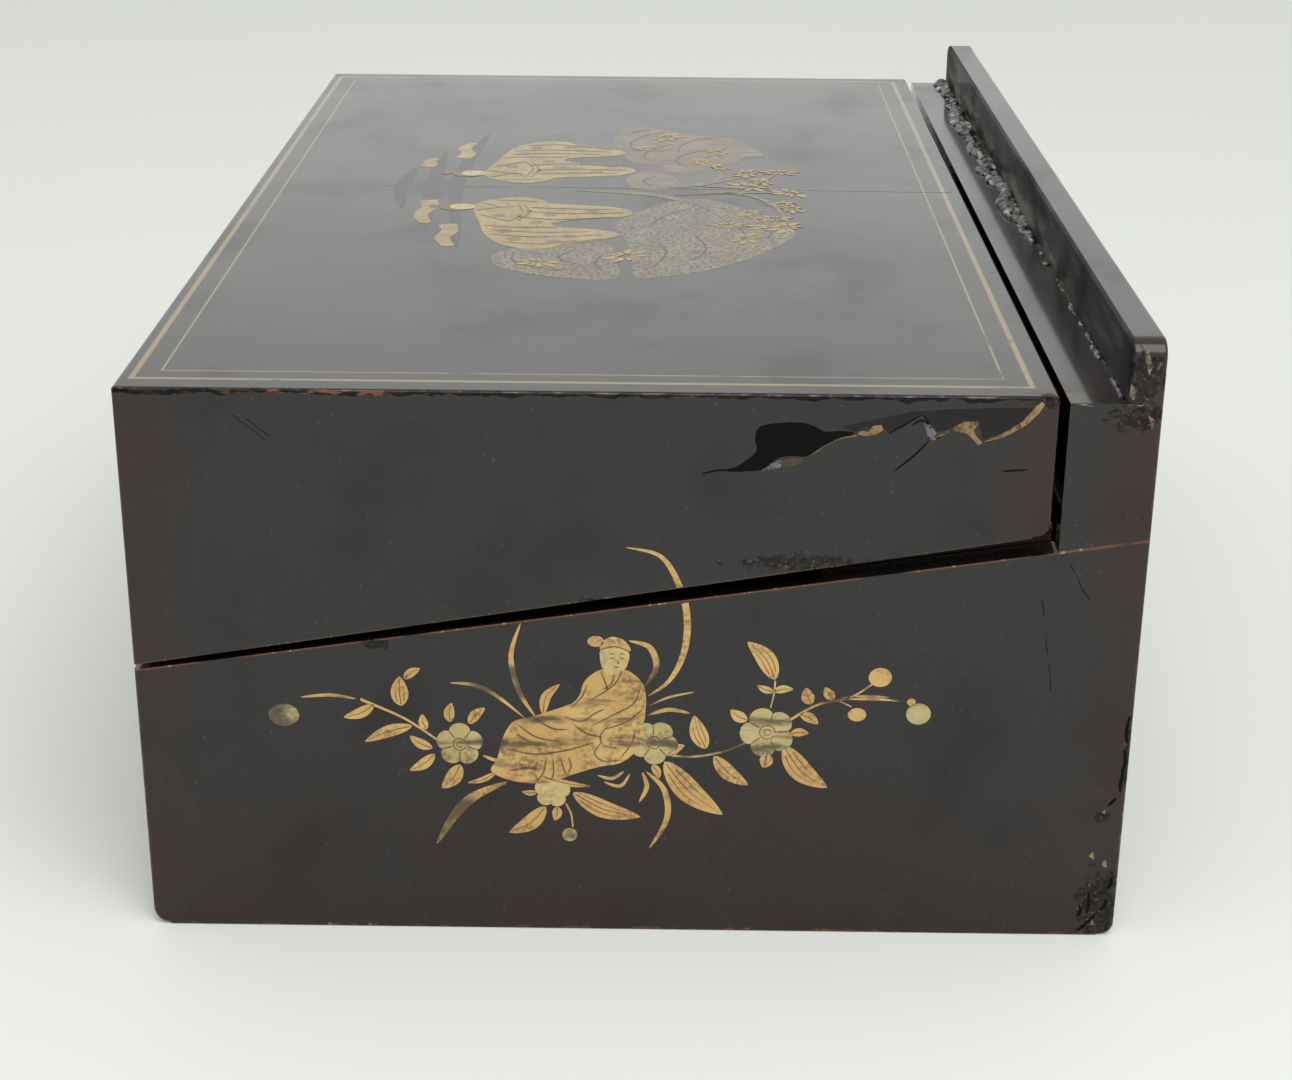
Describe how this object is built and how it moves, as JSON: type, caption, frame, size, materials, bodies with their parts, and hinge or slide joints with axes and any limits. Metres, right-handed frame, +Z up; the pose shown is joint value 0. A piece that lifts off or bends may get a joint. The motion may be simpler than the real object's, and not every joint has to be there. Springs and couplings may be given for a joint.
{
  "type": "lacquered writing slope box",
  "caption": "Lacquered writing box: the lid folds right over to make a leather-covered writing slope, with a lift-out tray for ink stone, water dropper and brushes.",
  "frame": {"origin": "middle of the base's underside, at the rest surface", "axes": "+X along the box, +Y from the hinged edge to the back with its rail, +Z up"},
  "size_m": [0.41, 0.2634, 0.1675],
  "materials": {
    "black_lacquer": "aged glossy black lacquer on softwood",
    "tray_lacquer": "satin black lacquer on softwood",
    "bare_wood": "plain softwood",
    "brass_fittings": "aged brass",
    "writing_leather": "dark red skiver, worn",
    "slate": "honed dark slate",
    "aged_copper": "brown patinated copper"
  },
  "bodies": {
    "box_body": {"base_panel": "black_lacquer", "body_front_wall": "black_lacquer", "body_back_wall": "black_lacquer", "body_left_end": "black_lacquer", "body_right_end": "black_lacquer", "gallery_rail": "black_lacquer", "riser_board": "black_lacquer", "ledge_board": "black_lacquer", "tray_divider": "black_lacquer", "tray_bearers": "bare_wood", "upper_flap_bearers": "bare_wood", "left_hinge_body_leaf": "brass_fittings", "right_hinge_body_leaf": "brass_fittings", "main_hinge_pins": "brass_fittings", "main_hinge_body_screws": "brass_fittings", "upper_hinge_wall_leaves": "brass_fittings", "upper_hinge_wall_nails": "brass_fittings", "upper_flap_hinge_pins": "brass_fittings"},
    "lid": {"lid_top_panel": "black_lacquer", "lid_front_wall": "black_lacquer", "lid_back_wall": "black_lacquer", "lid_left_end": "black_lacquer", "lid_right_end": "black_lacquer", "lower_flap_bearers": "bare_wood", "left_hinge_lid_leaf": "brass_fittings", "right_hinge_lid_leaf": "brass_fittings", "main_hinge_lid_screws": "brass_fittings", "lower_hinge_wall_leaves": "brass_fittings", "lower_hinge_wall_nails": "brass_fittings", "lower_flap_hinge_pins": "brass_fittings"},
    "upper_flap": {"upper_flap_board": "black_lacquer", "upper_flap_leather": "writing_leather", "upper_flap_knob": "brass_fittings", "upper_flap_hinge_leaves": "brass_fittings", "upper_flap_nails": "brass_fittings"},
    "lower_flap": {"lower_flap_board": "black_lacquer", "lower_flap_leather": "writing_leather", "lower_flap_knob": "brass_fittings", "lower_flap_hinge_leaves": "brass_fittings", "lower_flap_nails": "brass_fittings"},
    "ink_tray": {"tray_floor": "tray_lacquer", "tray_front_wall": "tray_lacquer", "tray_back_wall": "tray_lacquer", "tray_left_end": "tray_lacquer", "tray_right_end": "tray_lacquer", "tray_partitions": "tray_lacquer", "brush_rests": "tray_lacquer"},
    "ink_stone": {"ink_stone": "slate"},
    "water_dropper": {"water_dropper": "aged_copper"}
  },
  "joints": [
    {"name": "lid_hinge", "type": "hinge", "parent": "box_body", "child": "lid", "pos_m": [0, -0.131, 0.0765], "axis": [1, 0, 0], "range_deg": [0, 180]},
    {"name": "upper_flap_hinge", "type": "hinge", "parent": "box_body", "child": "upper_flap", "pos_m": [0, -0.12165, 0.07671], "axis": [1, 0, 0], "range_deg": [0, 72.01]},
    {"name": "lower_flap_hinge", "type": "hinge", "parent": "lid", "child": "lower_flap", "pos_m": [0, -0.12175, 0.07892], "axis": [-1, 0, 0], "range_deg": [0, 72.01]},
    {"name": "tray_lift", "type": "slide", "parent": "box_body", "child": "ink_tray", "axis": [0, 0, 1], "range_m": [0, 0.0601]},
    {"name": "stone_lift", "type": "slide", "parent": "ink_tray", "child": "ink_stone", "axis": [0, 0, 1], "range_m": [0, 0.0301]},
    {"name": "dropper_lift", "type": "slide", "parent": "ink_tray", "child": "water_dropper", "axis": [0, 0, 1], "range_m": [0, 0.0301]}
  ],
  "couplings": [
    {"joint": "upper_flap_hinge", "follows": "lid_hinge", "ratio": 0.4},
    {"joint": "lower_flap_hinge", "follows": "lid_hinge", "ratio": 0.4},
    {"joint": "tray_lift", "follows": "lid_hinge", "m_per_rad": 0.019099},
    {"joint": "stone_lift", "follows": "lid_hinge", "m_per_rad": 0.009549},
    {"joint": "dropper_lift", "follows": "lid_hinge", "m_per_rad": 0.009549}
  ]
}
